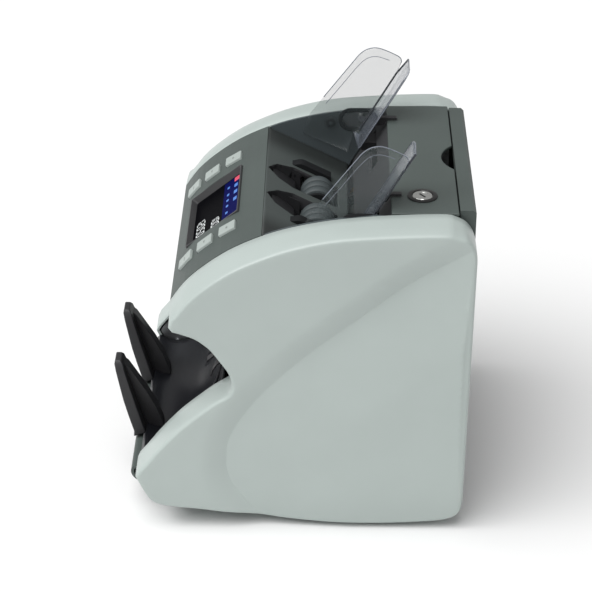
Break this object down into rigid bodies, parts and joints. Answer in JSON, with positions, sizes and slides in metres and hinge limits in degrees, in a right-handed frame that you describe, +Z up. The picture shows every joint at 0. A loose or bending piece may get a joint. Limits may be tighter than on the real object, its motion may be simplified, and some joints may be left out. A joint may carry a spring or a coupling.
{
  "type": "banknote counting machine",
  "caption": "Desktop banknote counter with a top hopper between sliding clear guides, a sloped control panel with display and buttons, and a front stacker pocket.",
  "frame": {"origin": "under the middle of the machine's box, on the surface that it stands on", "axes": "+X to the machine's right side seen from the front, +Y to the rear, +Z up"},
  "size_m": [0.29, 0.307, 0.3452],
  "materials": {
    "cover_light": "satin moulded, light grey with a green tint",
    "panel_dark": "fine textured, dark green grey",
    "hopper_dark": "fine textured, blue grey",
    "hopper_wall": "fine textured, blue grey",
    "tray_black": "semi gloss black",
    "plate_black": "fine textured black",
    "button_grey": "satin light grey",
    "display_black": "polished black window",
    "bezel_dark": "satin",
    "guide_clear": "smoky clear acrylic",
    "roller_grey": "matt ribbed rubber",
    "ring_black": "matt rubber",
    "foot_black": "matt rubber",
    "steel": "drawn steel",
    "galvanised": "zinc plated sheet",
    "base_grey": "powder coated",
    "lock_chrome": "polished",
    "lock_black": "black lacquer",
    "bronze": "sintered bronze",
    "drum_alloy": "turned",
    "pulley_white": "natural acetal",
    "belt_black": "rubber belt",
    "board_green": "coated circuit board",
    "motor_grey": "grey lacquer",
    "switch_red": "moulded",
    "inlet_black": "moulded",
    "sheet_grey": "bent sheet",
    "sensor_black": "moulded"
  },
  "bodies": {
    "case": {"base_tray": "base_grey", "feet": "foot_black", "side_cover_left": "cover_light", "side_cover_right": "cover_light", "side_frames": "galvanised", "tie_rods": "steel", "shaft_bushes": "bronze", "front_cover": "panel_dark", "stacker_tray": "tray_black", "stacker_plates": "plate_black", "control_panel": "panel_dark", "display_bezel": "bezel_dark", "display_glass": "display_black", "display_module": "bezel_dark", "hopper_floor": "hopper_dark", "roller_wells": "plate_black", "hopper_side_left": "hopper_wall", "hopper_side_right": "hopper_wall", "hopper_back": "hopper_dark", "deck": "panel_dark", "lock_body": "lock_black", "door_hinge_pin": "steel", "rear_panel": "panel_dark", "power_inlet": "inlet_black", "guide_rail": "steel", "guide_belt": "belt_black", "drive_belts": "belt_black", "main_motor": "motor_grey", "note_guides": "sheet_grey", "sensor_bars": "sensor_black", "circuit_boards": "board_green", "power_supply": "galvanised", "cover_screws": "steel"},
    "lock": {"lock_plug": "lock_chrome", "lock_cam": "steel"},
    "door": {"rear_door": "panel_dark", "door_catch": "steel"},
    "guide_l": {"guide_left": "guide_clear"},
    "guide_r": {"guide_right": "guide_clear"},
    "belt_wheel_l": {"guide_pulley_left": "pulley_white"},
    "belt_wheel_r": {"guide_pulley_right": "pulley_white"},
    "feed": {"feed_shaft": "steel", "feed_rollers": "roller_grey", "feed_pulley": "pulley_white"},
    "drum": {"feed_drum": "drum_alloy", "drum_rings": "ring_black", "drum_pulleys": "pulley_white"},
    "transport": {"transport_roller": "ring_black", "transport_pulley": "pulley_white"},
    "stacker": {"stacker_shaft": "steel", "stacker_wheels": "plate_black", "stacker_pulley": "pulley_white"},
    "motor": {"motor_pulley": "pulley_white"},
    "switch": {"power_switch": "switch_red"},
    "key_1": {"button_1": "button_grey"},
    "key_2": {"button_2": "button_grey"},
    "key_3": {"button_3": "button_grey"},
    "key_4": {"button_4": "button_grey"},
    "key_5": {"button_5": "button_grey"},
    "key_6": {"button_6": "button_grey"}
  },
  "joints": [
    {"name": "button_1_press", "type": "slide", "parent": "case", "child": "key_1", "axis": [0, 0.7724, -0.6351], "range_m": [0, 0.0012], "stiffness_N_per_m": 900},
    {"name": "button_2_press", "type": "slide", "parent": "case", "child": "key_2", "axis": [0, 0.63, -0.7766], "range_m": [0, 0.0012], "stiffness_N_per_m": 900},
    {"name": "button_3_press", "type": "slide", "parent": "case", "child": "key_3", "axis": [0, 0.5309, -0.8474], "range_m": [0, 0.0012], "stiffness_N_per_m": 900},
    {"name": "button_4_press", "type": "slide", "parent": "case", "child": "key_4", "axis": [0, 0.7724, -0.6351], "range_m": [0, 0.0012], "stiffness_N_per_m": 900},
    {"name": "button_5_press", "type": "slide", "parent": "case", "child": "key_5", "axis": [0, 0.63, -0.7766], "range_m": [0, 0.0012], "stiffness_N_per_m": 900},
    {"name": "button_6_press", "type": "slide", "parent": "case", "child": "key_6", "axis": [0, 0.5309, -0.8474], "range_m": [0, 0.0012], "stiffness_N_per_m": 900},
    {"name": "lock_turn", "type": "hinge", "parent": "case", "child": "lock", "pos_m": [0.0775, 0.1102, 0.287], "axis": [0, 0, 1], "range_deg": [0, 90]},
    {"name": "door_open", "type": "hinge", "parent": "case", "child": "door", "pos_m": [0, 0.146, 0.112], "axis": [-1, 0, 0], "range_deg": [0, 75]},
    {"name": "guide_slide", "type": "slide", "parent": "case", "child": "guide_r", "axis": [-1, 0, 0], "range_m": [0, 0.045]},
    {"name": "guide_slide_left", "type": "slide", "parent": "case", "child": "guide_l", "axis": [1, 0, 0], "range_m": [0, 0.045]},
    {"name": "guide_wheel_left", "type": "hinge", "parent": "case", "child": "belt_wheel_l", "pos_m": [-0.099, 0.108, 0.26], "axis": [0, 1, 0], "range_deg": [-540, 540]},
    {"name": "guide_wheel_right", "type": "hinge", "parent": "case", "child": "belt_wheel_r", "pos_m": [0.099, 0.108, 0.26], "axis": [0, 1, 0], "range_deg": [-540, 540]},
    {"name": "drum_spin", "type": "hinge", "parent": "case", "child": "drum", "pos_m": [0, 0.06, 0.198], "axis": [1, 0, 0], "continuous": true},
    {"name": "feed_spin", "type": "hinge", "parent": "case", "child": "feed", "pos_m": [0, 0.023, 0.234], "axis": [1, 0, 0], "continuous": true},
    {"name": "transport_spin", "type": "hinge", "parent": "case", "child": "transport", "pos_m": [0, 0.0048, 0.164], "axis": [1, 0, 0], "continuous": true},
    {"name": "stacker_spin", "type": "hinge", "parent": "case", "child": "stacker", "pos_m": [0, -0.042, 0.106], "axis": [1, 0, 0], "continuous": true},
    {"name": "motor_spin", "type": "hinge", "parent": "case", "child": "motor", "pos_m": [0, 0.104, 0.054], "axis": [1, 0, 0], "continuous": true},
    {"name": "switch_rock", "type": "hinge", "parent": "case", "child": "switch", "pos_m": [-0.043, 0.144, 0.041], "axis": [-1, 0, 0], "range_deg": [0, 16]}
  ],
  "couplings": [
    {"joint": "guide_slide_left", "follows": "guide_slide", "ratio": 1},
    {"joint": "guide_wheel_left", "follows": "guide_slide", "rad_per_m": -204.08},
    {"joint": "guide_wheel_right", "follows": "guide_slide", "rad_per_m": -204.08},
    {"joint": "feed_spin", "follows": "drum_spin", "ratio": 1.4},
    {"joint": "transport_spin", "follows": "drum_spin", "ratio": 2},
    {"joint": "stacker_spin", "follows": "drum_spin", "ratio": 0.6667},
    {"joint": "motor_spin", "follows": "drum_spin", "ratio": 1.75}
  ]
}
